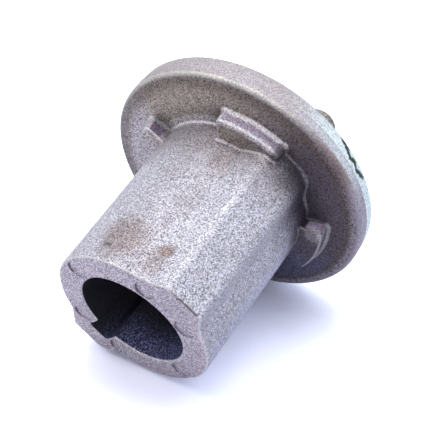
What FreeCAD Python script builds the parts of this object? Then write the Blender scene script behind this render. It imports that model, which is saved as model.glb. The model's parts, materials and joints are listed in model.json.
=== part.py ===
"""Blade adapter of a rotary mower: one die casting that keys the blade to the crankshaft.

Frame: the bore axis is +Z, z = 0 is the seat that the blade is clamped against,
the sleeve stands up towards the engine and +Y points at the keyway.
Lengths are millimetres and angles are degrees.
"""
import FreeCAD
import Part
import math
import os

# Crankshaft bore and its keyway
BORE_DIAMETER = 22.2
BORE_EDGE_BREAK = 0.4
KEYWAY_WIDTH = 4.8
KEYWAY_DEPTH = 3.4
KEYWAY_CORNER = 0.8

# Sleeve, tapered so that the casting leaves its die
OVERALL_HEIGHT = 43.3
SLEEVE_WALL = 5.4
SLEEVE_DRAFT = 1.4
SLEEVE_END_BREAK = 0.5
ROOT_BLEND = 0.7

# Two ribs along the sleeve: one backs the keyway, the other balances it
RIB_TOP_WIDTH = 7.8
KEY_RIB_RISE = 3.5
BALANCE_RIB_RISE = 3.0
RIB_SIDE_ANGLE = 34.0
RIB_SIDE_DRAFT = 1.2
RIB_END_ROUND = 1.6
RIB_ROOT_ROUND = 3.8
RIB_FOOT_ROUND = 4.6

# Flange that carries the blade
FLANGE_DIAMETER = 58.0
FLANGE_THICKNESS = 5.8
RIM_FRONT_ROUND = 1.2
RIM_BACK_BREAK = 0.4
RIM_DRAFT = 2.0

# Lugs round the foot of the sleeve
LUG_COUNT = 4
LUG_TURN = 25.5
LUG_SPAN = 38.0
LUG_REACH = 4.9
LUG_HEIGHT = 3.4
LUG_DRAFT = 5.0
LUG_CORNER_ROUND = 1.0
LUG_EDGE_BREAK = 0.6
LUG_FOOT_BLEND = 0.8

# Pegs that enter the blade's outer holes
PEG_COUNT = 2
PEG_CIRCLE = 42.0
PEG_DIAMETER = 7.0
PEG_LENGTH = 7.0
PEG_CROWN_RADIUS = 4.2

# Shallow marks of the ejector pins on the sleeve's end
MARK_DIAMETER = 4.0
MARK_DEPTH = 0.3
MARK_SPREAD = 21.0

# Sizes that follow from those above
BORE_RADIUS = BORE_DIAMETER / 2
SLEEVE_END_RADIUS = BORE_RADIUS + SLEEVE_WALL
MID_WALL_RADIUS = BORE_RADIUS + SLEEVE_WALL / 2
FLANGE_RADIUS = FLANGE_DIAMETER / 2
PLATE_RADIUS = FLANGE_RADIUS - 2 * RIM_FRONT_ROUND
ROOTED_DEPTH = FLANGE_THICKNESS / 2
ROOTED_Z = FLANGE_THICKNESS - ROOTED_DEPTH
CUT_PAST = 1.0
TOLERANCE = 1e-4

UP = FreeCAD.Vector(0, 0, 1)
ORIGIN = FreeCAD.Vector(0, 0, 0)


def slope(degrees):
    return math.tan(math.radians(degrees))


def polar(radius, degrees, z=0.0):
    angle = math.radians(degrees)
    return FreeCAD.Vector(radius * math.cos(angle), radius * math.sin(angle), z)


def axis_distance(point):
    return math.hypot(point.x, point.y)


def outline(points):
    corners = [FreeCAD.Vector(*point) for point in points]
    return Part.makePolygon(corners + corners[:1])


def revolve(points, degrees=360):
    """Turn a closed profile, given as (radius, z) corners, about the bore axis."""
    face = Part.Face(outline([(radius, 0, z) for radius, z in points]))
    return face.revolve(ORIGIN, UP, degrees)


def edges_at_height(shape, z):
    level = []
    for edge in shape.Edges:
        box = edge.BoundBox
        if abs(box.ZMin - z) < TOLERANCE and abs(box.ZMax - z) < TOLERANCE:
            level.append(edge)
    return level


def upright_edges(shape, height):
    return [edge for edge in shape.Edges if edge.BoundBox.ZLength > height - TOLERANCE]


def flange_plate():
    """The flange's front half without its rim, for what stands on it to be blended into."""
    return Part.makeCylinder(PLATE_RADIUS, ROOTED_DEPTH, FreeCAD.Vector(0, 0, ROOTED_Z))


def foot_edges(joined):
    """Edges where something rises from the flange's front."""
    feet = []
    for edge in edges_at_height(joined, FLANGE_THICKNESS):
        if axis_distance(edge.Vertexes[0].Point) < PLATE_RADIUS - TOLERANCE:
            feet.append(edge)
    return feet


def sleeve_radius(z):
    return SLEEVE_END_RADIUS + (OVERALL_HEIGHT - z) * slope(SLEEVE_DRAFT)


def rib_outline(z, rise):
    """Edges round a rib at height z: a flat top, round shoulders, and sides that spread through the wall."""
    below_end = OVERALL_HEIGHT - z
    shoulder = RIB_END_ROUND + below_end * (RIB_ROOT_ROUND - RIB_END_ROUND) / (OVERALL_HEIGHT - ROOTED_Z)
    turn = math.radians(90 - RIB_SIDE_ANGLE)
    top = sleeve_radius(z) + rise
    half_top = RIB_TOP_WIDTH / 2 + below_end * slope(RIB_SIDE_DRAFT)
    half_flat = half_top - shoulder * math.tan(turn / 2)
    right = []
    for angle in (0, turn / 2, turn):
        drop = shoulder * (1 - math.cos(angle))
        right.append(FreeCAD.Vector(half_flat + shoulder * math.sin(angle), top - drop, z))
    foot = BORE_RADIUS - CUT_PAST
    right.append(FreeCAD.Vector(half_top + (top - foot) * slope(RIB_SIDE_ANGLE), foot, z))
    flat_right, mid_right, side_right, foot_right = right
    flat_left, mid_left, side_left, foot_left = [FreeCAD.Vector(-point.x, point.y, z) for point in right]
    return [
        Part.makeLine(foot_left, side_left),
        Part.Arc(side_left, mid_left, flat_left).toShape(),
        Part.makeLine(flat_left, flat_right),
        Part.Arc(flat_right, mid_right, side_right).toShape(),
        Part.makeLine(side_right, foot_right),
        Part.makeLine(foot_right, foot_left),
    ]


def side_face(low, high):
    """The face between matching edges of a rib's two ends: flat between lines, ruled between arcs."""
    if low.Curve.TypeId == "Part::GeomCircle":
        return Part.makeRuledSurface(low, high)
    corners = [vertex.Point for vertex in low.Vertexes + high.Vertexes[::-1]]
    return Part.Face(outline(corners))


def make_rib(rise):
    """A rib with flat sides, and shoulders that grow rounder from the sleeve's end to the flange."""
    low = rib_outline(ROOTED_Z, rise)
    high = rib_outline(OVERALL_HEIGHT, rise)
    faces = [Part.Face(Part.Wire(low)), Part.Face(Part.Wire(high))]
    faces += [side_face(*edges) for edges in zip(low, high)]
    skin = Part.Compound(faces)
    skin.sewShape()
    return Part.makeSolid(skin.Shells[0])


def make_sleeve():
    """The tapered sleeve with its ribs, blended into a plate that lies inside the flange."""
    base = FreeCAD.Vector(0, 0, ROOTED_Z)
    length = OVERALL_HEIGHT - ROOTED_Z
    tube = Part.makeCone(sleeve_radius(ROOTED_Z), SLEEVE_END_RADIUS, length, base)
    key_rib = make_rib(KEY_RIB_RISE)
    balance_rib = make_rib(BALANCE_RIB_RISE)
    balance_rib.rotate(ORIGIN, UP, 180)
    sleeve = tube.multiFuse([key_rib, balance_rib])

    rib_feet = []
    for edge in upright_edges(sleeve, length):
        middle = edge.CenterOfMass
        if axis_distance(middle) < sleeve_radius(ROOTED_Z) and abs(middle.y) > RIB_TOP_WIDTH / 2:
            rib_feet.append(edge)
    sleeve = sleeve.makeFillet(RIB_FOOT_ROUND, rib_feet)
    sleeve = sleeve.makeChamfer(SLEEVE_END_BREAK, edges_at_height(sleeve, OVERALL_HEIGHT))

    joined = flange_plate().fuse(sleeve)
    return joined.makeChamfer(ROOT_BLEND, foot_edges(joined))


def make_flange():
    """A disc whose rim tapers both ways from the parting line at half its thickness."""
    half = FLANGE_THICKNESS / 2
    edge = FLANGE_RADIUS - half * slope(RIM_DRAFT)
    disc = revolve([
        (0, 0),
        (edge, 0),
        (FLANGE_RADIUS, half),
        (edge, FLANGE_THICKNESS),
        (0, FLANGE_THICKNESS),
    ])
    disc = disc.makeFillet(RIM_FRONT_ROUND, edges_at_height(disc, FLANGE_THICKNESS))
    return disc.makeChamfer(RIM_BACK_BREAK, edges_at_height(disc, 0))


def make_lugs():
    """Ring sectors that stand on the flange against the sleeve's foot."""
    top = FLANGE_THICKNESS + LUG_HEIGHT
    reach = sleeve_radius(FLANGE_THICKNESS) + LUG_REACH
    lug = revolve([
        (MID_WALL_RADIUS, ROOTED_Z),
        (reach + ROOTED_DEPTH * slope(LUG_DRAFT), ROOTED_Z),
        (reach - LUG_HEIGHT * slope(LUG_DRAFT), top),
        (MID_WALL_RADIUS, top),
    ], LUG_SPAN)
    outer_corners = []
    for edge in upright_edges(lug, top - ROOTED_Z):
        if axis_distance(edge.CenterOfMass) > MID_WALL_RADIUS + TOLERANCE:
            outer_corners.append(edge)
    lug = lug.makeFillet(LUG_CORNER_ROUND, outer_corners)
    top_edges = []
    for edge in edges_at_height(lug, top):
        if axis_distance(edge.CenterOfMass) > MID_WALL_RADIUS + TOLERANCE:
            top_edges.append(edge)
    lug = lug.makeChamfer(LUG_EDGE_BREAK, top_edges)

    lugs = []
    for index in range(LUG_COUNT):
        turned = lug.copy()
        turned.rotate(ORIGIN, UP, LUG_TURN - LUG_SPAN / 2 + index * 360 / LUG_COUNT)
        lugs.append(turned)
    joined = flange_plate().multiFuse(lugs)
    return joined.makeChamfer(LUG_FOOT_BLEND, foot_edges(joined))


def make_pegs():
    """Round pegs with crowned ends, rooted in the flange."""
    shank = Part.makeCylinder(PEG_DIAMETER / 2, PEG_LENGTH + ROOTED_DEPTH, FreeCAD.Vector(0, 0, -PEG_LENGTH))
    crown_centre = FreeCAD.Vector(0, 0, PEG_CROWN_RADIUS - PEG_LENGTH)
    crown = Part.makeSphere(PEG_CROWN_RADIUS, crown_centre)
    body = Part.makeCylinder(PEG_CROWN_RADIUS, PEG_LENGTH + ROOTED_DEPTH, crown_centre)
    peg = shank.common(crown.fuse(body))
    pegs = []
    for index in range(PEG_COUNT):
        placed = peg.copy()
        placed.translate(polar(PEG_CIRCLE / 2, 90 + index * 360 / PEG_COUNT))
        pegs.append(placed)
    return pegs


def make_bore():
    """The through bore with an edge break at each mouth."""
    mouth = BORE_RADIUS + BORE_EDGE_BREAK + CUT_PAST
    return revolve([
        (0, -CUT_PAST),
        (mouth, -CUT_PAST),
        (BORE_RADIUS, BORE_EDGE_BREAK),
        (BORE_RADIUS, OVERALL_HEIGHT - BORE_EDGE_BREAK),
        (mouth, OVERALL_HEIGHT + CUT_PAST),
        (0, OVERALL_HEIGHT + CUT_PAST),
    ])


def make_keyway():
    """A slot along the whole bore on +Y, with rounded bottom corners."""
    length = OVERALL_HEIGHT + 2 * CUT_PAST
    corner = FreeCAD.Vector(-KEYWAY_WIDTH / 2, 0, -CUT_PAST)
    slot = Part.makeBox(KEYWAY_WIDTH, BORE_RADIUS + KEYWAY_DEPTH, length, corner)
    bottom = [edge for edge in upright_edges(slot, length) if edge.BoundBox.YMin > BORE_RADIUS]
    return slot.makeFillet(KEYWAY_CORNER, bottom)


def make_marks():
    """Marks in the wall's middle: one on each side and a pair beside each rib."""
    turns = []
    for side in (0, 180):
        turns += [side, side + 90 - MARK_SPREAD, side + 90 + MARK_SPREAD]
    marks = []
    for turn in turns:
        base = polar(MID_WALL_RADIUS, turn, OVERALL_HEIGHT - MARK_DEPTH)
        marks.append(Part.makeCylinder(MARK_DIAMETER / 2, MARK_DEPTH + CUT_PAST, base))
    return marks


def make_casting():
    body = make_flange().multiFuse([make_sleeve(), make_lugs()] + make_pegs())
    body = body.removeSplitter()
    return body.cut([make_bore(), make_keyway()] + make_marks())


os.makedirs("parts", exist_ok=True)
casting = make_casting()
casting.exportStep("parts/adapter_casting.step")
print("solids", len(casting.Solids), "valid", casting.isValid(), "volume", round(casting.Volume))
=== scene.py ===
"""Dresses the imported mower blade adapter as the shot-blasted casting that the photograph shows.

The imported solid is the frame: metres, bore axis on +Z, blade seat at z = 0, keyway towards +Y.
Patterns on the casting are laid out in millimetres in that same frame.
"""

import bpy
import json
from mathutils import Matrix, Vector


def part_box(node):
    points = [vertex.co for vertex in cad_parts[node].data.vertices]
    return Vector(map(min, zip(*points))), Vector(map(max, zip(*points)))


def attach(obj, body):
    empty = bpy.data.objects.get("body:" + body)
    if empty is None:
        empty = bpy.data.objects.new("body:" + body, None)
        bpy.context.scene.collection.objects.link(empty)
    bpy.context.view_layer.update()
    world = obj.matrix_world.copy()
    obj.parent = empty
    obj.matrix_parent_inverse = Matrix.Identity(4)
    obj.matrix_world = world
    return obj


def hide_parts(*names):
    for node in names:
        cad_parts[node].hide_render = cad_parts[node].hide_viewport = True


bl_info = {
    "name": "Mower Blade Adapter",
    "version": (1, 0, 0),
    "blender": (4, 5, 0),
    "location": "3D View > Sidebar > Adapter",
    "description": "Finishes a cast mower blade adapter and sets it on a white stage",
    "category": "Object",
}

import json
import math

import bmesh
import bpy
from bpy.props import FloatProperty, FloatVectorProperty, PointerProperty
from mathutils import Matrix, Vector

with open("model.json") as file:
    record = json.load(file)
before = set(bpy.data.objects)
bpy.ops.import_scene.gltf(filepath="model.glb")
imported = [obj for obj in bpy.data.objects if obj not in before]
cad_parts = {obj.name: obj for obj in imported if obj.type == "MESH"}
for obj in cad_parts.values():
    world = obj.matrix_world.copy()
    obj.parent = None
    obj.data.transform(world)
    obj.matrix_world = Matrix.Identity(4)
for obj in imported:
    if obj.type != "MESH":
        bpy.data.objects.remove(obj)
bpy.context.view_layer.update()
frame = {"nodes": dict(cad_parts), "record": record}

NODE = "adapter_casting"
BODY = "root"

MM = 0.001
HIGH_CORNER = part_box(NODE)[1]

# Sizes of the casting in millimetres
FLANGE_RADIUS = HIGH_CORNER[0] / MM
SLEEVE_END_Z = HIGH_CORNER[2] / MM
MOUNTS = {mount["name"]: mount for mount in frame["record"]["mounts"]}
BORE_RADIUS = MOUNTS["crankshaft_bore"]["dims"]["r_mm"]
FLANGE_FRONT_Z = 5.8
PARTING_Z = FLANGE_FRONT_Z / 2
SLEEVE_FOOT_RADIUS = 18.5
SLEEVE_END_RADIUS = 16.5
KEYWAY_HALF = 2.4
KEYWAY_FLOOR = 14.5
LUG_COUNT = 4
LUG_TURN = math.radians(25.5)
LUG_TOP_Z = 9.2
LUG_OUTER_RADIUS = 23.4


def side_at(degrees):
    """The direction square to the bore axis at an angle from +X."""
    angle = math.radians(degrees)
    return (math.cos(angle), math.sin(angle), 0.0)


# Sides of the sleeve that get a painted sheen, a painted shade and a painted bluish fill light
SHEEN_SIDE = side_at(15)
SHADE_SIDE = side_at(-45)
FILL_SIDE = side_at(-165)

# How far a surface faces along the bore axis where it starts to count as flat, and where it is flat
FLAT_TILT = (0.94, 0.995)
FLAT_TILT_ON_LUG = (0.86, 0.97)
FLAT_TILT_AT_RIM = (0.6, 0.8)


def linear(red, green, blue):
    """A colour given as it is seen on a screen, 0 to 255, as linear light."""
    channels = []
    for value in (red, green, blue):
        share = value / 255
        if share <= 0.04045:
            channels.append(share / 12.92)
        else:
            channels.append(((share + 0.055) / 1.055) ** 2.4)
    return channels


# Lesser tints of the casting, and the painted light and shade laid over it
# Duller alloy, in random clouds and as painted shade on the flank that faces up to the camera
DULL_ALLOY_AND_SHADE = linear(168, 164, 172)
# Painted sheen on the sleeve's left flank and along the rib's round
PAINTED_SHEEN = linear(206, 207, 220)
# Painted bluish fill light on the sleeve's shaded lower flank
PAINTED_FILL = linear(200, 202, 224)
# Grime and painted shade towards the sleeve's root, brown on the lit side and violet on the shaded side
ROOT_GRIME_SHADE_BROWN = linear(148, 136, 136)
ROOT_GRIME_SHADE_VIOLET = linear(94, 89, 104)
ROOT_SHADE = linear(52, 46, 58)
# Painted shade on the flange's front, away from the light
FILM_PAINTED_SHADE = linear(108, 97, 106)
FILM_PALE = linear(236, 226, 232)
# Painted shadow on the flange under the sleeve
FLANGE_SHADOW_NAVY = linear(112, 116, 148)
FILM_BROWN = linear(112, 94, 82)
LUG_WALL = linear(172, 160, 180)
# Painted shade on the lugs' walls on the shaded side
LUG_WALL_SHADE = linear(108, 101, 118)
# Lug ends painted dark as shade, and lighter as painted light on the shaded side
LUG_END_SHADE = linear(138, 124, 146)
LUG_END_PAINTED_LIGHT = linear(196, 178, 210)
RIM_TOP = linear(174, 167, 172)
# Painted highlight along the rim's rounded front edge
RIM_EDGE_HIGHLIGHT = linear(204, 201, 196)
# Painted bluish light on the rim's side, and painted shade on its low part
RIM_SIDE_PAINTED_LIGHT = linear(200, 206, 214)
RIM_LOW_PAINTED_SHADE = linear(166, 161, 174)
# Painted reflection on the back of the rim's side
RIM_BACK_PAINTED_REFLECTION = linear(226, 242, 246)
RIM_SIDE_BAND = linear(146, 129, 130)
# Painted highlight on the rounded lip of the low rim
RIM_LIP_HIGHLIGHT = linear(188, 177, 190)
PEG_GREY = linear(140, 138, 132)
# Painted shade deep in the bore
BORE_DEEP_SHADE = linear(30, 30, 42)
# Dark colour of the scratches, and of painted shade and shadow
DIRT_AND_SHADE = linear(52, 45, 50)
WARM_FLECK = (1.05, 0.99, 0.95, 1.0)
COOL_FLECK = (0.95, 1.0, 1.07, 1.0)

# How far each tint covers what lies below it
CLOUD_COVER = 0.3
PAINTED_SHEEN_COVER = 0.45
PAINTED_SHADE_COVER = 0.45
RIB_HIGHLIGHT_COVER = 0.35
ROOT_SIDE_SHADE_COVER = 0.85
UNDER_SHADOW_COVER = 0.6
RIM_INSIDE_COVER = 0.6
RIM_LIP_HIGHLIGHT_COVER = 0.8
PARTING_COVER = 0.4
END_EDGE_COVER = 0.6
BROW_HIGHLIGHT_COVER = 0.7
BEAD_HIGHLIGHT_COVER = 0.42
BORE_EDGE_HIGHLIGHT_COVER = 0.45
LUG_CORNER_SHADE_COVER = 0.6
PIN_MARK_COVER = 0.45

# The grain's range of tone, and how far it swings the colour on plain, worn and filmed surfaces
TONE_RANGE = (0.2, 0.8)
PLAIN_SWING = 0.78
WORN_SWING = 0.4
FILM_SWING = 0.08
LUG_WALL_CALM = 0.6
# Painted glints on the bore's lit lower wall
GLINT_RANGE = (0.5, 0.85)
BORE_GLINT = 16.0

# Gloss of clean and grimy metal, and of dark and bright grains
CLEAN_METALLIC = 0.45
GRIMY_METALLIC = 0.05
ROUGHNESS_RANGE = (0.65, 0.45)

# The surroundings and the floor: as they light the casting, as metal mirrors them and as they are seen
SKY_COOL = (0.95, 0.98, 1.06, 1.0)
SKY_WHITE = (1.0, 1.0, 1.0, 1.0)
FLOOR_PALE = (0.6, 0.62, 0.7, 1.0)
FLOOR_SHEEN = (1.05, 1.07, 1.2, 1.0)
FLOOR_WHITE = (1.88, 1.92, 2.16, 1.0)
FLOOR_HALF = 0.6

# Camera
SENSOR_WIDTH = 36.0
NEAREST_SEEN = 0.005

# Clean-up of the solid's mesh: points this close merge, edges this flat go, large faces lead the shading
MERGE_REACH = 0.002 * MM
DISSOLVE_ANGLE = math.radians(0.4)
LARGE_FACE_WEIGHT = 100


# Settings

class CastingSettings(bpy.types.PropertyGroup):
    """Finish of the casting."""

    smooth_angle: FloatProperty(
        name="Smooth Angle",
        description="Edges flatter than this are shaded as one surface",
        default=math.radians(50),
        subtype="ANGLE",
    )
    grain_size: FloatProperty(
        name="Grain Size",
        description="Width of one dimple left by the blasting, in millimetres",
        default=0.15,
        min=0.05,
    )
    grain_depth: FloatProperty(
        name="Grain Depth",
        description="Depth of the blasted dimples, in millimetres",
        default=0.03,
        min=0.0,
    )
    alloy_colour: FloatVectorProperty(
        name="Blasted Alloy",
        description="Colour of the clean blasted metal",
        default=linear(191, 191, 202),
        subtype="COLOR",
    )
    # Worn edges that also carry a painted highlight, brighter on the lit side
    edge_wear_and_highlight_colour: FloatVectorProperty(
        name="Bright Edges",
        description="Colour of the worn edges of the lugs and the sleeve's root",
        default=linear(254, 246, 251),
        subtype="COLOR",
    )
    end_colour: FloatVectorProperty(
        name="Sleeve End",
        description="Colour of the flat ring at the sleeve's end",
        default=linear(215, 203, 215),
        subtype="COLOR",
    )
    film_colour: FloatVectorProperty(
        name="Flange Film",
        description="Colour of the brown film on the flange's front",
        default=linear(202, 188, 173),
        subtype="COLOR",
    )
    # The bore's colour is painted shade, lightest on the bore's lit lower wall
    bore_shade_colour: FloatVectorProperty(
        name="Bore",
        description="Colour of the oiled metal in the bore",
        default=linear(64, 65, 92),
        subtype="COLOR",
    )
    stain_colour: FloatVectorProperty(
        name="Stain",
        description="Colour of the brown spots on the sleeve",
        default=linear(122, 94, 82),
        subtype="COLOR",
    )
    paint_colour: FloatVectorProperty(
        name="Paint Streak",
        description="Colour of the dark green paint on the rim",
        default=linear(12, 46, 34),
        subtype="COLOR",
    )


class StageSettings(bpy.types.PropertyGroup):
    """Camera, lamps and floor."""

    lens: FloatProperty(
        name="Lens",
        description="Focal length on a 36 mm wide sensor",
        default=66.06,
        subtype="DISTANCE_CAMERA",
    )
    azimuth: FloatProperty(
        name="Azimuth",
        description="Turn of the camera round the bore axis, from the side that looks along +Y",
        default=math.radians(16.4),
        subtype="ANGLE",
    )
    elevation: FloatProperty(
        name="Elevation",
        description="Height of the camera above the plane of the flange",
        default=math.radians(32.6),
        subtype="ANGLE",
    )
    roll: FloatProperty(
        name="Roll",
        description="Turn of the camera about its own axis",
        default=math.radians(-142.9),
        subtype="ANGLE",
    )
    distance: FloatProperty(
        name="Distance",
        description="From the camera to the point that it looks at",
        default=0.165,
        unit="LENGTH",
    )
    aim: FloatVectorProperty(
        name="Aim",
        description="The point that the camera looks at",
        default=(-0.00164, 0.00085, 0.01291),
        subtype="TRANSLATION",
    )
    floor_turn: FloatProperty(
        name="Floor Turn",
        description="Side of the casting that is uppermost as it lies, measured round the bore axis",
        default=math.radians(-41.1),
        subtype="ANGLE",
    )
    lamp_power: FloatProperty(
        name="Lamp Power",
        description="Power that the soft lamps share",
        default=1.0,
        unit="POWER",
    )
    sky_strength: FloatProperty(
        name="Sky Strength",
        description="Light from the white surroundings",
        default=0.3,
        min=0.0,
    )


# Node trees

# Vector operations that give a number
NUMBER_OPERATIONS = {"LENGTH", "DOT_PRODUCT", "DISTANCE"}

# Share of a soft mask's half width that it covers fully
CORE_SHARE = 0.4


class Board:
    """Adds nodes to one tree and joins them."""

    def __init__(self, tree):
        self.tree = tree

    def node(self, kind, **settings):
        made = self.tree.nodes.new(kind)
        for name, value in settings.items():
            setattr(made, name, value)
        return made

    def feed(self, socket, value):
        if isinstance(value, bpy.types.NodeSocket):
            self.tree.links.new(value, socket)
        else:
            socket.default_value = value

    def math(self, operation, first, second=0.0, third=0.0):
        made = self.node("ShaderNodeMath", operation=operation)
        for socket, value in zip(made.inputs, (first, second, third)):
            self.feed(socket, value)
        return made.outputs[0]

    def vector(self, operation, first, second=(0.0, 0.0, 0.0)):
        made = self.node("ShaderNodeVectorMath", operation=operation)
        self.feed(made.inputs[0], first)
        self.feed(made.inputs[1], second)
        return made.outputs["Value" if operation in NUMBER_OPERATIONS else "Vector"]

    def scaled(self, first, factor):
        made = self.node("ShaderNodeVectorMath", operation="SCALE")
        self.feed(made.inputs[0], first)
        self.feed(made.inputs["Scale"], factor)
        return made.outputs["Vector"]

    def parts(self, first):
        made = self.node("ShaderNodeSeparateXYZ")
        self.feed(made.inputs[0], first)
        return made.outputs

    def ramp(self, value, low, high, to_low=0.0, to_high=1.0):
        made = self.node("ShaderNodeMapRange", interpolation_type="SMOOTHSTEP")
        for socket, number in zip(made.inputs, (value, low, high, to_low, to_high)):
            self.feed(socket, number)
        return made.outputs[0]

    def times(self, *values):
        product = values[0]
        for value in values[1:]:
            product = self.math("MULTIPLY", product, value)
        return product

    def most(self, *values):
        largest = values[0]
        for value in values[1:]:
            largest = self.math("MAXIMUM", largest, value)
        return largest

    def without(self, value):
        return self.math("SUBTRACT", 1.0, value)

    def band(self, value, centre, half):
        """One where a value is within half of a centre, with a soft border."""
        away = self.math("ABSOLUTE", self.math("SUBTRACT", value, centre))
        return self.ramp(away, half, half * CORE_SHARE)

    def colour(self, mask, below, above, blend="MIX"):
        made = self.node("ShaderNodeMix", data_type="RGBA", blend_type=blend)
        # The sockets for colours come after those for numbers and vectors
        self.feed(made.inputs[0], mask)
        self.feed(made.inputs[6], below)
        self.feed(made.inputs[7], above)
        return made.outputs[2]

    def noise(self, place, scale, detail=2.0, roughness=0.5):
        made = self.node("ShaderNodeTexNoise")
        self.feed(made.inputs["Vector"], place)
        self.feed(made.inputs["Scale"], scale)
        self.feed(made.inputs["Detail"], detail)
        self.feed(made.inputs["Roughness"], roughness)
        return made.outputs[0]

    def bent(self, place, scale, reach):
        """A place shifted by up to half of a reach, differently from spot to spot."""
        made = self.node("ShaderNodeTexNoise")
        self.feed(made.inputs["Vector"], place)
        self.feed(made.inputs["Scale"], scale)
        shift = self.vector("SUBTRACT", made.outputs["Color"], (0.5, 0.5, 0.5))
        return self.vector("ADD", place, self.scaled(shift, reach))

    def cells(self, place, scale):
        made = self.node("ShaderNodeTexVoronoi")
        self.feed(made.inputs["Vector"], place)
        self.feed(made.inputs["Scale"], scale)
        return made.outputs

    def group(self, tree, **values):
        made = self.node("ShaderNodeGroup", node_tree=tree)
        for name, value in values.items():
            self.feed(made.inputs[name.replace("_", " ").title()], value)
        return made.outputs


def rgba(colour):
    return (*colour, 1.0)


def new_group(name, inputs, outputs):
    tree = bpy.data.node_groups.new(name, "ShaderNodeTree")
    for label, kind in inputs:
        tree.interface.new_socket(label, in_out="INPUT", socket_type="NodeSocket" + kind)
    for label, kind in outputs:
        tree.interface.new_socket(label, in_out="OUTPUT", socket_type="NodeSocket" + kind)
    board = Board(tree)
    source = board.node("NodeGroupInput").outputs
    result = board.node("NodeGroupOutput").inputs
    return tree, board, source, result


def blast_grain_group():
    """Dimples of the blasting: a tone that jumps from dimple to dimple, and their height."""
    tree, board, source, result = new_group(
        "blast_grain",
        (("Place", "Vector"), ("Size", "Float")),
        (("Tone", "Float"), ("Hue", "Float"), ("Height", "Float")),
    )
    scale = board.math("DIVIDE", 1.0, source["Size"])
    bent = board.bent(source["Place"], board.math("MULTIPLY", scale, 0.9), source["Size"])
    cells = board.cells(bent, scale)
    flecks = board.parts(cells["Color"])
    fine = board.noise(source["Place"], board.math("MULTIPLY", scale, 1.7), 3.0, 0.6)
    broad = board.math("MULTIPLY", flecks["X"], 0.5)
    tone = board.math("ADD", broad, board.math("MULTIPLY", fine, 0.5))
    board.feed(result["Tone"], tone)
    board.feed(result["Hue"], flecks["Z"])
    board.feed(result["Height"], board.math("ADD", cells["Distance"], fine))
    return tree


def soft_spot_group():
    """A ragged spot round a centre, with its own reach along each axis."""
    tree, board, source, result = new_group(
        "soft_spot",
        (("Place", "Vector"), ("Centre", "Vector"), ("Reach", "Vector"), ("Ragged", "Float")),
        (("Mask", "Float"),),
    )
    offset = board.vector("SUBTRACT", source["Place"], source["Centre"])
    offset = board.vector("DIVIDE", offset, source["Reach"])
    wander = board.math("SUBTRACT", board.noise(source["Place"], 0.9, 4.0, 0.65), 0.5)
    wander = board.math("MULTIPLY", wander, source["Ragged"])
    far = board.math("ADD", board.vector("LENGTH", offset), wander)
    board.feed(result["Mask"], board.ramp(far, 1.0, 0.35))
    return tree


def crescent_group():
    """A thin arc on one side of a circle that lies across the bore axis."""
    tree, board, source, result = new_group(
        "crescent",
        (("Place", "Vector"), ("Centre", "Vector"), ("Radius", "Float"), ("Side", "Vector")),
        (("Mask", "Float"),),
    )
    offset = board.vector("SUBTRACT", source["Place"], source["Centre"])
    share = board.math("DIVIDE", board.vector("DOT_PRODUCT", offset, source["Side"]), source["Radius"])
    ring = board.math("SUBTRACT", board.vector("LENGTH", offset), source["Radius"])
    ring = board.ramp(board.math("ABSOLUTE", ring), 0.3, 0.1)
    board.feed(result["Mask"], board.times(ring, board.ramp(share, 0.35, 0.9)))
    return tree


def streak_group():
    """A ragged line from one point to another."""
    tree, board, source, result = new_group(
        "streak",
        (
            ("Place", "Vector"),
            ("Start", "Vector"),
            ("End", "Vector"),
            ("Width", "Float"),
            ("Ragged", "Float"),
        ),
        (("Mask", "Float"),),
    )
    place = board.bent(source["Place"], 1.7, source["Ragged"])
    along = board.vector("SUBTRACT", source["End"], source["Start"])
    reach = board.vector("SUBTRACT", place, source["Start"])
    share = board.math(
        "DIVIDE",
        board.vector("DOT_PRODUCT", reach, along),
        board.vector("DOT_PRODUCT", along, along),
    )
    share = board.math("MINIMUM", board.math("MAXIMUM", share, 0.0), 1.0)
    far = board.vector("DISTANCE", reach, board.scaled(along, share))
    core = board.math("MULTIPLY", source["Width"], CORE_SHARE)
    board.feed(result["Mask"], board.ramp(far, source["Width"], core))
    return tree


# Places on the casting, in millimetres

STAINS = (
    {"centre": (13.4, -9.8, 37.0), "reach": (6.4, 6.4, 6.6), "ragged": 0.9, "strength": 0.5},
    {"centre": (6.6, -15.6, 36.2), "reach": (2.2, 2.2, 2.0), "ragged": 0.9, "strength": 0.7},
    {"centre": (7.4, -15.4, 39.4), "reach": (2.8, 2.8, 4.4), "ragged": 0.9, "strength": 0.36},
    {"centre": (9.0, -14.8, 14.2), "reach": (3.4, 3.4, 4.0), "ragged": 0.9, "strength": 0.12},
)

# Painted shade at the main lug's end, against the bead
LUG_CREVICE_SHADE = {"centre": (2.6, -21.2, 7.8), "reach": (2.4, 2.4, 3.6), "ragged": 0.6, "strength": 0.85}
# Painted highlight on the front of the right-low lug
LUG_HIGHLIGHT = {"centre": (-15.4, -13.4, 8.8), "reach": (2.8, 2.8, 2.4), "ragged": 0.5, "strength": 0.32}

SCRATCH_RAGGED = 0.3
SCRATCHES = (
    {"start": (14.5, -8.0, 39.5), "end": (13.9, -9.0, 39.6), "width": 0.6, "strength": 0.5},
    {"start": (7.4, -14.9, 39.3), "end": (7.0, -15.2, 37.9), "width": 0.4, "strength": 0.3},
    {"start": (-1.7, -19.6, 38.0), "end": (-3.5, -19.6, 38.4), "width": 0.25, "strength": 0.35},
    {"start": (-6.2, -16.2, 37.6), "end": (-9.0, -14.0, 37.0), "width": 0.3, "strength": 0.3},
    {"start": (2.9, -19.1, 42.9), "end": (-2.9, -19.4, 43.0), "width": 0.32, "strength": 0.8},
)

PAINT_WIDTH = 0.55
PAINT_RAGGED = 0.9
PAINT_TRACK = (
    (-2.9, -28.8, 0.6),
    (-4.9, -28.5, 1.0),
    (-6.6, -28.2, 1.7),
    (-7.9, -27.8, 1.2),
    (-9.2, -27.5, 1.9),
    (-11.6, -26.5, 1.0),
)

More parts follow.
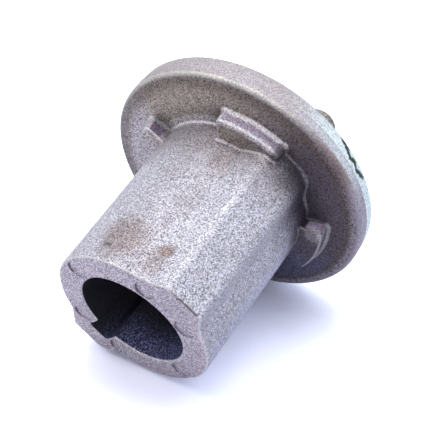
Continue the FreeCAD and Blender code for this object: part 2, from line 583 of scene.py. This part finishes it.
PIN_MARK_TURNS = (0, 69, 111, 180, 249, 291)
PIN_MARK_RADIUS = 2.0
PIN_MARK_CIRCLE = 13.8
# The side of each ejector mark that gets a painted shadow
PIN_MARK_SHADED_SIDE = (0.78, 0.62, 0.0)


class ShadedPoint:
    """A point of the casting's surface: where it lies, in millimetres, and which way it faces."""

    def __init__(self, board, place, normal):
        self.x, self.y, self.z = board.parts(place)
        lean_x, lean_y, self.tilt = board.parts(normal)
        square = board.math("ADD", board.times(self.x, self.x), board.times(self.y, self.y))
        self.radius = board.math("SQRT", square)
        self.outward = board.vector("NORMALIZE", board.vector("MULTIPLY", place, (1.0, 1.0, 0.0)))
        across = board.math("SUBTRACT", board.times(self.x, lean_y), board.times(self.y, lean_x))
        self.across = board.math("ABSOLUTE", board.math("DIVIDE", across, self.radius))
        wander = board.ramp(board.noise(place, 2.2, 3.0, 0.7), 0.2, 0.8, -0.5, 0.5)
        self.rough_radius = board.math("ADD", self.radius, wander)
        angle = board.math("ARCTAN2", self.y, self.x)
        wave = board.math("MULTIPLY_ADD", angle, LUG_COUNT, -LUG_COUNT * LUG_TURN)
        self.lug_wave = board.math("COSINE", wave)
        self.near_end = board.ramp(self.z, SLEEVE_END_Z - 1.2, SLEEVE_END_Z - 0.6)
        self.near_foot = board.times(
            board.ramp(self.z, LUG_TOP_Z + 1.2, LUG_TOP_Z + 0.4),
            board.ramp(self.z, FLANGE_FRONT_Z - 3.3, FLANGE_FRONT_Z - 1.8),
        )
        self.at_rim = board.ramp(self.radius, FLANGE_RADIUS - 3.0, FLANGE_RADIUS - 1.6)
        self.lug = board.times(board.ramp(self.lug_wave, 0.1, 0.25), self.near_foot)
        limits = []
        for plain, on_lug, at_rim in zip(FLAT_TILT, FLAT_TILT_ON_LUG, FLAT_TILT_AT_RIM):
            limit = board.ramp(self.lug, 0.0, 1.0, plain, on_lug)
            limits.append(board.ramp(self.at_rim, 0.0, 1.0, limit, at_rim))
        self.flat = board.ramp(self.tilt, *limits)


def end_zones(board, point):
    """Masks of the sleeve's end and the bore."""
    in_round = board.ramp(point.radius, BORE_RADIUS + 0.6, BORE_RADIUS + 0.3)
    in_slot = board.times(
        board.ramp(board.math("ABSOLUTE", point.x), KEYWAY_HALF + 0.2, KEYWAY_HALF + 0.05),
        board.ramp(point.y, 8.0, 9.0),
        board.ramp(point.radius, KEYWAY_FLOOR + 0.25, KEYWAY_FLOOR + 0.1),
    )
    return {
        "end": board.times(point.flat, point.near_end),
        "end edge": board.times(
            board.ramp(point.tilt, 0.1, 0.3),
            board.without(point.flat),
            point.near_end,
        ),
        "bore": board.times(board.most(in_round, in_slot), board.ramp(point.tilt, 0.3, 0.1)),
        # Where a painted highlight lies on the bore's edge on its lit lower side
        "bore edge": board.times(
            point.near_end,
            board.ramp(point.radius, BORE_RADIUS + 0.8, BORE_RADIUS + 0.4),
            board.ramp(point.x, 1.0, -6.0),
        ),
        # The bore's lit lower part, painted less dark, with painted glints
        "mouth": board.times(
            board.ramp(point.z, SLEEVE_END_Z - 11.0, SLEEVE_END_Z - 2.0),
            board.ramp(point.x, 3.0, -6.0),
            board.ramp(point.y, -9.0, 3.0, 0.5, 1.0),
        ),
    }


def sleeve_zones(board, point):
    """Masks of the sleeve's root, flanks and ribs, where grime, painted shade, painted sheen, painted
    fill light and painted highlights go.
    """
    off_rim = board.without(point.at_rim)

    def facing(side, start, full):
        return board.ramp(board.vector("DOT_PRODUCT", point.outward, side), start, full)

    return {
        # Where grime and painted shade lie towards the sleeve's root
        "root": board.times(board.ramp(point.z, 21.0, 8.0), off_rim),
        # Where painted shade lies along the root on the shaded side
        "root side": board.times(
            board.ramp(point.z, 15.0, 7.4),
            board.ramp(point.x, 5.0, -3.0),
            off_rim,
        ),
        # The side away from the light, where the painted shade, and the painted light for that side, go
        "side": board.ramp(point.x, 4.0, -12.0),
        # Where the painted sheen lies on the sleeve's left flank
        "sheen flank": facing(SHEEN_SIDE, 0.7, 0.93),
        # Where painted shade lies on the flank that faces up to the camera
        "shade flank": facing(SHADE_SIDE, 0.93, 1.0),
        # Where the painted fill light lies on the shaded lower flank
        "fill flank": facing(FILL_SIDE, 0.8, 1.02),
        # Where the painted highlight lies along the rib's left round
        "rib highlight": board.times(
            board.band(point.x, 5.6, 2.4),
            board.ramp(point.y, -12.0, -15.0),
            board.ramp(point.z, LUG_TOP_Z + 2.0, LUG_TOP_Z + 8.0),
        ),
        # Where painted shade lies in the crease at the rib's foot
        "rib foot": board.times(
            board.band(point.x, 9.0, 2.2),
            board.ramp(board.math("ABSOLUTE", point.y), 9.0, 12.0),
            board.ramp(point.z, LUG_TOP_Z, LUG_TOP_Z + 3.0),
        ),
    }


def lug_zones(board, point):
    """Masks of the lugs' walls, ends and worn edges, and of the painted shade in their corners."""
    wall = board.times(
        board.band(point.z, (FLANGE_FRONT_Z + LUG_TOP_Z) / 2, 2.6),
        board.ramp(point.radius, SLEEVE_FOOT_RADIUS - 0.3, SLEEVE_FOOT_RADIUS + 0.3),
        board.ramp(point.radius, LUG_OUTER_RADIUS + 0.2, LUG_OUTER_RADIUS - 0.2),
        board.ramp(point.tilt, 0.5, 0.25),
        board.ramp(point.lug_wave, 0.0, 0.15),
    )
    wall_end = board.times(wall, board.ramp(point.across, 0.5, 0.8))
    return {
        "lug": point.lug,
        "lug wall": wall,
        # Where the lugs' ends get painted shade, and painted light on the shaded side
        "lug end light and shade": wall_end,
        "lug shine": board.ramp(point.y, 2.0, 6.0, 1.0, 0.5),
        # Where a painted highlight lies on the main lug's top outer edge
        "brow": board.times(
            point.lug,
            board.ramp(point.y, -12.0, -15.0),
            board.ramp(point.radius, LUG_OUTER_RADIUS - 2.5, LUG_OUTER_RADIUS - 2.0),
            board.ramp(point.z, LUG_TOP_Z - 0.5, LUG_TOP_Z - 0.2),
        ),
        "lug seam": board.times(
            board.band(point.z, LUG_TOP_Z + 0.3, 0.5),
            board.ramp(point.lug_wave, 0.1, 0.3),
            board.ramp(point.tilt, 0.5, 0.2),
        ),
        # Where painted shade lies where the lugs' ends meet the flange
        "lug corner shade": board.times(
            board.ramp(point.lug_wave, -0.6, 0.2),
            board.ramp(point.lug_wave, 0.5, 0.25),
            board.ramp(point.radius, LUG_OUTER_RADIUS - 0.6, LUG_OUTER_RADIUS - 2.2),
            board.ramp(point.z, FLANGE_FRONT_Z + 2.2, FLANGE_FRONT_Z + 0.2),
            board.ramp(wall_end, 0.0, 1.0, 1.0, 0.25),
        ),
    }


def flange_zones(board, point):
    """Masks of the flange's front, its film with its painted shade and shadow, and the bead and the
    shaded crevice round the sleeve's foot.
    """
    turned = board.times(board.ramp(point.tilt, 0.3, 0.6), board.without(point.flat))
    return {
        "front": board.times(point.flat, point.near_foot),
        "foot edge": board.times(turned, point.near_foot),
        # Where a painted highlight lies on the bead round the sleeve's foot
        "bead": board.times(
            board.ramp(point.radius, SLEEVE_FOOT_RADIUS + 1.1, SLEEVE_FOOT_RADIUS + 0.5),
            board.ramp(point.x, 6.0, 11.0),
            board.ramp(point.z, FLANGE_FRONT_Z + 0.9, FLANGE_FRONT_Z + 0.4),
            board.without(point.lug),
        ),
        "bead shine": board.ramp(point.x, -2.0, 9.0, 0.12, 0.9),
        # Where painted shade lies in the crevice round the sleeve's foot
        "crevice": board.times(
            board.ramp(point.radius, SLEEVE_FOOT_RADIUS + 4.0, SLEEVE_FOOT_RADIUS),
            board.ramp(point.z, FLANGE_FRONT_Z + 1.0, FLANGE_FRONT_Z + 0.4),
        ),
        # Where painted shade lies across the flange's front, darkest away from the light
        "shade": board.ramp(point.x, 24.0, -4.0),
        # Paler towards the flange's top left
        "paler top left": board.times(board.ramp(point.y, -2.0, 8.0), board.ramp(point.x, 8.0, 16.0)),
        # Where the painted shadow lies on the flange under the sleeve, near the floor
        "shadow under sleeve": board.times(board.ramp(point.y, -12.0, -2.0), board.ramp(point.x, -8.0, -18.0)),
    }


def rim_zones(board, point):
    """Masks of the rim and of the pegs behind it."""
    at_front = board.ramp(point.z, FLANGE_FRONT_Z - 1.6, FLANGE_FRONT_Z - 0.8)
    return {
        "rim": board.times(
            board.ramp(point.radius, FLANGE_RADIUS - 1.2, FLANGE_RADIUS - 0.6),
            board.ramp(point.z, 0.0, 0.3),
        ),
        "rim inside": board.times(
            board.ramp(point.rough_radius, FLANGE_RADIUS - 4.5, FLANGE_RADIUS - 2.0),
            board.ramp(point.z, FLANGE_FRONT_Z - 1.8, FLANGE_FRONT_Z - 0.8),
        ),
        "rim edge": board.times(
            point.at_rim,
            board.ramp(point.tilt, 0.15, 0.35),
            board.ramp(point.tilt, 0.95, 0.8),
            at_front,
        ),
        "rim lip": board.times(
            board.ramp(point.rough_radius, FLANGE_RADIUS - 2.7, FLANGE_RADIUS - 1.5),
            board.ramp(point.tilt, 0.4, 0.8),
            point.near_foot,
        ),
        "rim band": board.times(
            board.ramp(point.rough_radius, FLANGE_RADIUS - 2.6, FLANGE_RADIUS - 1.0),
            at_front,
        ),
        "rim back": board.ramp(point.z, PARTING_Z + 0.1, PARTING_Z - 0.2),
        "rim side": board.ramp(point.x, 12.0, -5.0),
        "rim low": board.ramp(point.x, -7.0, -16.0),
        "parting": board.band(point.z, PARTING_Z, 0.22),
        "peg": board.ramp(point.z, -0.2, -0.6),
    }


def surface_zones(board, place, normal):
    """Masks of the casting's differently finished surfaces."""
    point = ShadedPoint(board, place, normal)
    zones = {}
    for make_zones in (end_zones, sleeve_zones, lug_zones, flange_zones, rim_zones):
        zones.update(make_zones(board, point))
    return zones


def spot_mask(board, place, spot_tree, spot):
    """One of the spots listed above, at its own strength."""
    made = board.group(
        spot_tree,
        place=place,
        centre=spot["centre"],
        reach=spot["reach"],
        ragged=spot["ragged"],
    )
    return board.times(made["Mask"], spot["strength"])


def sleeve_tint(board, place, zones, settings, spot_tree):
    """Colour of the blasted sleeve with brown stains, with grime and painted shade towards its root, and
    painted sheen, shade, fill light and highlights on its flanks and rib.
    """
    cloud = board.ramp(board.noise(place, 0.16, 3.0, 0.55), 0.35, 0.65)
    colour = board.colour(board.times(cloud, CLOUD_COVER), rgba(settings.alloy_colour), rgba(DULL_ALLOY_AND_SHADE))
    # Painted sheen on the left flank
    colour = board.colour(board.times(zones["sheen flank"], PAINTED_SHEEN_COVER), colour, rgba(PAINTED_SHEEN))
    # Painted bluish fill light on the shaded lower flank
    colour = board.colour(zones["fill flank"], colour, rgba(PAINTED_FILL))
    # Painted shade on the flank that faces up to the camera
    colour = board.colour(board.times(zones["shade flank"], PAINTED_SHADE_COVER), colour, rgba(DULL_ALLOY_AND_SHADE))
    # Painted highlight along the rib's round, in the sheen's colour
    colour = board.colour(board.times(zones["rib highlight"], RIB_HIGHLIGHT_COVER), colour, rgba(PAINTED_SHEEN))
    # Grime and painted shade towards the root, violet on the shaded side
    root_grime_and_shade = board.colour(zones["side"], rgba(ROOT_GRIME_SHADE_BROWN), rgba(ROOT_GRIME_SHADE_VIOLET))
    patchy = board.math("ADD", board.ramp(cloud, 0.0, 1.0, 0.5, 0.75), board.times(zones["side"], 0.15))
    colour = board.colour(board.times(zones["root"], patchy), colour, root_grime_and_shade)
    # Painted shade along the root on the shaded side
    colour = board.colour(board.times(zones["root side"], ROOT_SIDE_SHADE_COVER), colour, rgba(ROOT_SHADE))
    # Painted shade in the crease at the rib's foot
    valley = board.times(zones["rib foot"], board.ramp(cloud, 0.0, 1.0, 0.1, 0.3))
    colour = board.colour(valley, colour, root_grime_and_shade)
    for stain in STAINS:
        stained = spot_mask(board, place, spot_tree, stain)
        colour = board.colour(stained, colour, rgba(settings.stain_colour))
    return colour


def film_tint(board, zones, settings):
    """Colour of the film on the flange's front, with painted shade away from the light, paler towards
    the top left, a painted shadow under the sleeve, and painted shade in the crevice round the sleeve.
    """
    # Painted shade across the film
    film = board.colour(zones["shade"], rgba(settings.film_colour), rgba(FILM_PAINTED_SHADE))
    # Paler towards the top left
    film = board.colour(zones["paler top left"], film, rgba(FILM_PALE))
    # Painted shadow under the sleeve
    film = board.colour(board.times(zones["shadow under sleeve"], UNDER_SHADOW_COVER), film, rgba(FLANGE_SHADOW_NAVY))
    film = board.colour(board.times(zones["rim inside"], RIM_INSIDE_COVER), film, rgba(FILM_BROWN))
    # Painted shade in the crevice, deeper on the shaded side
    crevice = board.times(zones["crevice"], board.ramp(zones["side"], 0.0, 1.0, 0.3, 0.6))
    return board.colour(crevice, film, rgba(ROOT_SHADE))


def lug_tint(board, zones, colour):
    """Colour of the lugs' walls, with painted shade on the shaded side, and of their ends, painted dark
    as shade and lighter as painted light on the shaded side.
    """
    # Painted shade on the walls on the shaded side
    wall = board.colour(zones["side"], rgba(LUG_WALL), rgba(LUG_WALL_SHADE))
    colour = board.colour(zones["lug wall"], colour, wall)
    # Ends painted dark as shade, lighter as painted light on the shaded side
    wall_end = board.colour(zones["side"], rgba(LUG_END_SHADE), rgba(LUG_END_PAINTED_LIGHT))
    return board.colour(zones["lug end light and shade"], colour, wall_end)


def rim_tint(board, zones, colour):
    """Colour of the rim, with its rough front band and parting line, painted light and a painted
    reflection on its side, painted shade low down and painted highlights on its rounded edge, and of the
    pegs.
    """
    # Painted bluish light on the rim's side, painted shade on its low part
    wall = board.colour(zones["rim low"], rgba(RIM_SIDE_PAINTED_LIGHT), rgba(RIM_LOW_PAINTED_SHADE))
    # Painted reflection on the back of the rim's side
    wall = board.colour(zones["rim back"], wall, rgba(RIM_BACK_PAINTED_REFLECTION))
    wall = board.colour(zones["rim side"], rgba(RIM_TOP), wall)
    seam = board.times(zones["parting"], zones["rim side"], PARTING_COVER)
    wall = board.colour(seam, wall, rgba(RIM_SIDE_BAND))
    colour = board.colour(zones["rim"], colour, wall)
    # Painted highlight along the rim's rounded front edge
    top_band = board.times(zones["rim edge"], board.without(zones["rim side"]))
    colour = board.colour(top_band, colour, rgba(RIM_EDGE_HIGHLIGHT))
    side_band = board.times(zones["rim band"], zones["rim side"], board.without(zones["rim low"]))
    colour = board.colour(side_band, colour, rgba(RIM_SIDE_BAND))
    colour = board.colour(zones["peg"], colour, rgba(PEG_GREY))
    # Painted highlight on the rounded lip of the low rim
    lip = board.times(zones["rim lip"], zones["rim low"], RIM_LIP_HIGHLIGHT_COVER)
    return board.colour(lip, colour, rgba(RIM_LIP_HIGHLIGHT))


def wear_and_highlight_mask(board, place, zones, spot_tree):
    """Worn edges with painted highlights: the lugs, the bead, the sleeve's end and the bore."""
    edge = board.most(zones["foot edge"], zones["lug seam"])
    edge = board.times(edge, board.without(zones["rim"]), board.without(zones["rim inside"]))
    lug_shine = board.times(
        zones["lug"],
        board.ramp(zones["side"], 0.0, 1.0, 0.85, 0.4),
        zones["lug shine"],
    )
    bead_shine = board.times(board.without(zones["lug"]), zones["bead shine"])
    return board.most(
        board.times(edge, board.most(lug_shine, bead_shine)),
        spot_mask(board, place, spot_tree, LUG_HIGHLIGHT),
        board.times(zones["end edge"], END_EDGE_COVER),
        board.times(zones["brow"], BROW_HIGHLIGHT_COVER),
        board.times(zones["bead"], BEAD_HIGHLIGHT_COVER),
        board.times(zones["bore edge"], BORE_EDGE_HIGHLIGHT_COVER),
    )


def alloy_tint(board, place, zones, settings):
    """Colour of the whole casting before its grain, with its painted light and shade: sleeve, flange,
    lugs, rim, sleeve end and bore.
    """
    spot_tree = soft_spot_group()
    colour = sleeve_tint(board, place, zones, settings, spot_tree)
    colour = board.colour(zones["front"], colour, film_tint(board, zones, settings))
    colour = lug_tint(board, zones, colour)
    colour = rim_tint(board, zones, colour)
    colour = board.colour(zones["end"], colour, rgba(settings.end_colour))
    # Worn edges with painted highlights on the lugs, bead, sleeve end and bore
    bright = wear_and_highlight_mask(board, place, zones, spot_tree)
    colour = board.colour(bright, colour, rgba(settings.edge_wear_and_highlight_colour))
    # Painted shade in the lugs' corners and at the main lug's end
    painted_shade = board.most(
        board.times(zones["lug corner shade"], LUG_CORNER_SHADE_COVER),
        spot_mask(board, place, spot_tree, LUG_CREVICE_SHADE),
    )
    colour = board.colour(painted_shade, colour, rgba(DIRT_AND_SHADE))
    # The bore painted dark as shade, darkest deep inside
    lining = board.colour(zones["mouth"], rgba(BORE_DEEP_SHADE), rgba(settings.bore_shade_colour))
    return board.colour(zones["bore"], colour, lining)


def dirt_and_shade_mask(board, place, zones, streak_tree):
    """Dark scratches on the sleeve, and a painted shadow along one side of each ejector mark."""
    lines = []
    for scratch in SCRATCHES:
        line = board.group(
            streak_tree,
            place=place,
            start=scratch["start"],
            end=scratch["end"],
            width=scratch["width"],
            ragged=SCRATCH_RAGGED,
        )
        lines.append(board.times(line["Mask"], scratch["strength"]))
    crescent_tree = crescent_group()
    for turn in PIN_MARK_TURNS:
        arc = board.group(
            crescent_tree,
            place=place,
            centre=Vector(side_at(turn)) * PIN_MARK_CIRCLE + Vector((0.0, 0.0, SLEEVE_END_Z)),
            radius=PIN_MARK_RADIUS,
            side=PIN_MARK_SHADED_SIDE,
        )
        lines.append(board.times(arc["Mask"], board.without(zones["bore"]), PIN_MARK_COVER))
    return board.most(*lines)


def paint_mask(board, place, streak_tree):
    """The thin streak of green paint on the rim, broken where it has worn off."""
    lines = []
    for start, end in zip(PAINT_TRACK, PAINT_TRACK[1:]):
        line = board.group(
            streak_tree,
            place=place,
            start=start,
            end=end,
            width=PAINT_WIDTH,
            ragged=PAINT_RAGGED,
        )
        lines.append(line["Mask"])
    worn = board.ramp(board.noise(place, 1.6, 3.0, 0.6), 0.2, 0.34)
    return board.times(board.most(*lines), worn)


def grain_tone(board, zones, grain):
    """How the grain swings the colour: least on worn edges, with painted glints in the bore."""
    worn = board.times(zones["foot edge"], board.most(zones["lug"], zones["bead shine"]))
    wall = board.times(zones["lug wall"], LUG_WALL_CALM)
    calm = board.most(zones["rim"], worn, zones["end edge"], wall)
    filmed = board.times(zones["front"], board.without(calm), FILM_SWING)
    swing = board.math("ADD", board.ramp(calm, 0.0, 1.0, PLAIN_SWING, WORN_SWING), filmed)
    lowest = board.without(swing)
    tone = board.ramp(grain["Tone"], *TONE_RANGE, lowest, board.math("ADD", swing, 1.0))
    glint = board.times(zones["bore"], zones["mouth"], board.ramp(grain["Tone"], *GLINT_RANGE))
    return board.math("ADD", tone, board.times(glint, BORE_GLINT))


def cast_alloy_material(settings):
    """The blasted alloy with its tints, painted light and shade, dirt, paint and grain."""
    material = bpy.data.materials.new("cast_alloy_blasted")
    material.use_nodes = True
    tree = material.node_tree
    tree.nodes.clear()
    board = Board(tree)
    streak_tree = streak_group()

    where = board.node("ShaderNodeTexCoord").outputs
    place = board.scaled(where["Object"], 1 / MM)
    zones = surface_zones(board, place, where["Normal"])
    grain = board.group(blast_grain_group(), place=place, size=settings.grain_size)

    colour = alloy_tint(board, place, zones, settings)
    # Scratches, and painted shadows at the ejector marks
    dirt = dirt_and_shade_mask(board, place, zones, streak_tree)
    colour = board.colour(dirt, colour, rgba(DIRT_AND_SHADE))
    colour = board.colour(1.0, colour, grain_tone(board, zones, grain), "MULTIPLY")
    fleck = board.colour(grain["Hue"], WARM_FLECK, COOL_FLECK)
    colour = board.colour(1.0, colour, fleck, "MULTIPLY")
    paint = paint_mask(board, place, streak_tree)
    colour = board.colour(paint, colour, rgba(settings.paint_colour))

    grimy = board.most(zones["front"], zones["bore"], paint)
    metallic = board.ramp(grimy, 0.0, 1.0, CLEAN_METALLIC, GRIMY_METALLIC)
    roughness = board.ramp(grain["Tone"], *TONE_RANGE, *ROUGHNESS_RANGE)
    bump = board.node("ShaderNodeBump")
    board.feed(bump.inputs["Distance"], MM)
    board.feed(bump.inputs["Strength"], 1.0)
    board.feed(bump.inputs["Height"], board.times(grain["Height"], settings.grain_depth))

    shader = board.node("ShaderNodeBsdfPrincipled")
    board.feed(shader.inputs["Base Color"], colour)
    board.feed(shader.inputs["Metallic"], metallic)
    board.feed(shader.inputs["Roughness"], roughness)
    board.feed(shader.inputs["Normal"], bump.outputs[0])
    output = board.node("ShaderNodeOutputMaterial")
    board.feed(output.inputs["Surface"], shader.outputs[0])
    return material


# Stage

# Soft lamps: bearing is to the camera's right, up and back, and share is of the lamps' power
LAMP_DISTANCE = 0.5
LAMP_SIZE = 0.3
LAMPS = (
    {"name": "left", "bearing": (-0.5, 0.75, 0.5), "share": 0.6, "colour": (1.0, 0.985, 0.97)},
    {"name": "overhead", "bearing": (0.0, 0.85, 0.5), "share": 0.8, "colour": (0.99, 0.99, 1.0)},
    {"name": "right", "bearing": (0.5, 0.7, 0.5), "share": 0.42, "colour": (0.98, 0.99, 1.03)},
    {"name": "side", "bearing": (0.9, 0.1, 0.4), "share": 0.3, "colour": (0.9, 0.96, 1.08)},
    {"name": "back", "bearing": (0.0, 0.9, -0.2), "share": 0.35, "colour": (1.0, 0.99, 0.97)},
)


def view_axes(settings):
    """The camera's right, up and back directions."""
    azimuth = settings.azimuth
    elevation = settings.elevation
    level = Vector((math.cos(azimuth), math.sin(azimuth), 0.0))
    back = Vector((
        math.sin(azimuth) * math.cos(elevation),
        -math.cos(azimuth) * math.cos(elevation),
        math.sin(elevation),
    ))
    rise = back.cross(level)
    right = level * math.cos(settings.roll) + rise * math.sin(settings.roll)
    return right, back.cross(right), back


def frame_matrix(right, up, back, place):
    matrix = Matrix((right, up, back)).transposed().to_4x4()
    matrix.translation = place
    return matrix


def floor_plane(settings):
    """Normal and a point of the plane that carries the rim and the sleeve's end as the casting lies."""
    lift = math.atan2(FLANGE_RADIUS - SLEEVE_END_RADIUS, SLEEVE_END_Z - PARTING_Z)
    normal = Vector((
        math.cos(settings.floor_turn) * math.cos(lift),
        math.sin(settings.floor_turn) * math.cos(lift),
        -math.sin(lift),
    ))
    lowest = min(normal.dot(vertex.co) for vertex in frame["nodes"][NODE].data.vertices)
    return normal, normal * lowest


def floor_material():
    """White to the camera, less so in reflections, pale as it lights the casting, clear from below."""
    material = bpy.data.materials.new("white_floor")
    material.use_nodes = True
    tree = material.node_tree
    tree.nodes.clear()
    board = Board(tree)
    path = board.node("ShaderNodeLightPath").outputs
    mirrored = board.most(path["Is Glossy Ray"], path["Is Transmission Ray"])
    colour = board.colour(mirrored, FLOOR_PALE, FLOOR_SHEEN)
    diffuse = board.node("ShaderNodeBsdfDiffuse")
    board.feed(diffuse.inputs["Color"], board.colour(path["Is Camera Ray"], colour, FLOOR_WHITE))
    clear = board.node("ShaderNodeBsdfTransparent")
    side = board.node("ShaderNodeMixShader")
    board.feed(side.inputs[0], board.node("ShaderNodeNewGeometry").outputs["Backfacing"])
    board.feed(side.inputs[1], diffuse.outputs[0])
    board.feed(side.inputs[2], clear.outputs[0])
    output = board.node("ShaderNodeOutputMaterial")
    board.feed(output.inputs["Surface"], side.outputs[0])
    return material


# Operators

class ADAPTER_OT_casting(bpy.types.Operator):
    """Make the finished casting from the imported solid"""

    bl_idname = "adapter.casting"
    bl_label = "Casting"

    def execute(self, context):
        settings = context.scene.adapter_casting
        solid = bmesh.new()
        solid.from_mesh(frame["nodes"][NODE].data)
        bmesh.ops.remove_doubles(solid, verts=solid.verts, dist=MERGE_REACH)
        bmesh.ops.dissolve_limit(
            solid,
            angle_limit=DISSOLVE_ANGLE,
            verts=solid.verts,
            edges=solid.edges,
            delimit={"NORMAL"},
        )
        solid.normal_update()
        for face in solid.faces:
            face.smooth = True
        for edge in solid.edges:
            edge.smooth = edge.calc_face_angle(0.0) < settings.smooth_angle
        mesh = bpy.data.meshes.new("casting")
        solid.to_mesh(mesh)
        solid.free()
        mesh.materials.clear()
        mesh.materials.append(cast_alloy_material(settings))
        casting = bpy.data.objects.new("casting", mesh)
        context.scene.collection.objects.link(casting)
        weighted = casting.modifiers.new("even_shading", "WEIGHTED_NORMAL")
        weighted.keep_sharp = True
        weighted.weight = LARGE_FACE_WEIGHT
        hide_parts(NODE)
        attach(casting, BODY)
        return {"FINISHED"}


class ADAPTER_OT_stage(bpy.types.Operator):
    """Set the floor, the lamps, the white surroundings and the camera"""

    bl_idname = "adapter.stage"
    bl_label = "Stage"

    def execute(self, context):
        scene = context.scene
        settings = scene.adapter_stage
        right, up, back = view_axes(settings)
        self.add_floor(scene, settings, back)
        for lamp in LAMPS:
            self.add_lamp(scene, settings, (right, up, back), **lamp)
        self.add_sky(scene, settings)
        self.add_camera(scene, settings, (right, up, back))
        scene.view_settings.view_transform = "Standard"
        return {"FINISHED"}

    def add_floor(self, scene, settings, back):
        normal, point = floor_plane(settings)
        across = normal.cross(back).normalized()
        plane = bmesh.new()
        bmesh.ops.create_grid(
            plane,
            x_segments=1,
            y_segments=1,
            size=FLOOR_HALF,
            matrix=frame_matrix(across, normal.cross(across), normal, point),
        )
        mesh = bpy.data.meshes.new("floor")
        plane.to_mesh(mesh)
        plane.free()
        mesh.materials.append(floor_material())
        floor = bpy.data.objects.new("floor", mesh)
        scene.collection.objects.link(floor)

    def add_lamp(self, scene, settings, axes, name, bearing, share, colour):
        towards = sum((axis * part for axis, part in zip(axes, bearing)), Vector()).normalized()
        data = bpy.data.lights.new(name, "AREA")
        data.size = LAMP_SIZE
        data.energy = settings.lamp_power * share
        data.color = colour
        lamp = bpy.data.objects.new(name, data)
        place = Vector(settings.aim) + towards * LAMP_DISTANCE
        across = towards.orthogonal().normalized()
        lamp.matrix_world = frame_matrix(across, towards.cross(across), towards, place)
        scene.collection.objects.link(lamp)

    def add_sky(self, scene, settings):
        world = bpy.data.worlds.new("white_surroundings")
        world.use_nodes = True
        world.node_tree.nodes.clear()
        board = Board(world.node_tree)
        path = board.node("ShaderNodeLightPath").outputs
        seen = board.most(path["Is Camera Ray"], path["Is Glossy Ray"], path["Is Transmission Ray"])
        sky = board.node("ShaderNodeBackground")
        board.feed(sky.inputs["Color"], board.colour(seen, SKY_COOL, SKY_WHITE))
        board.feed(sky.inputs["Strength"], board.ramp(seen, 0.0, 1.0, settings.sky_strength, 1.0))
        output = board.node("ShaderNodeOutputWorld")
        board.feed(output.inputs["Surface"], sky.outputs[0])
        scene.world = world

    def add_camera(self, scene, settings, axes):
        data = bpy.data.cameras.new("photo_camera")
        data.lens = settings.lens
        data.sensor_width = SENSOR_WIDTH
        data.clip_start = NEAREST_SEEN
        camera = bpy.data.objects.new("photo_camera", data)
        camera.matrix_world = frame_matrix(*axes, Vector(settings.aim) + axes[2] * settings.distance)
        scene.collection.objects.link(camera)
        scene.camera = camera


class ADAPTER_PT_sidebar(bpy.types.Panel):
    """Lists the steps and their settings"""

    bl_idname = "ADAPTER_PT_sidebar"
    bl_label = "Mower Blade Adapter"
    bl_space_type = "VIEW_3D"
    bl_region_type = "UI"
    bl_category = "Adapter"

    def draw(self, context):
        steps = (
            (ADAPTER_OT_casting.bl_idname, context.scene.adapter_casting),
            (ADAPTER_OT_stage.bl_idname, context.scene.adapter_stage),
        )
        for operator, settings in steps:
            box = self.layout.box()
            box.operator(operator)
            for name in settings.__annotations__:
                box.prop(settings, name)


CLASSES = (CastingSettings, StageSettings, ADAPTER_OT_casting, ADAPTER_OT_stage, ADAPTER_PT_sidebar)


def register():
    for item in CLASSES:
        bpy.utils.register_class(item)
    bpy.types.Scene.adapter_casting = PointerProperty(type=CastingSettings)
    bpy.types.Scene.adapter_stage = PointerProperty(type=StageSettings)


def unregister():
    del bpy.types.Scene.adapter_stage
    del bpy.types.Scene.adapter_casting
    for item in reversed(CLASSES):
        bpy.utils.unregister_class(item)


def main():
    register()
    bpy.ops.adapter.casting()
    bpy.ops.adapter.stage()


if __name__ == "__main__":
    main()
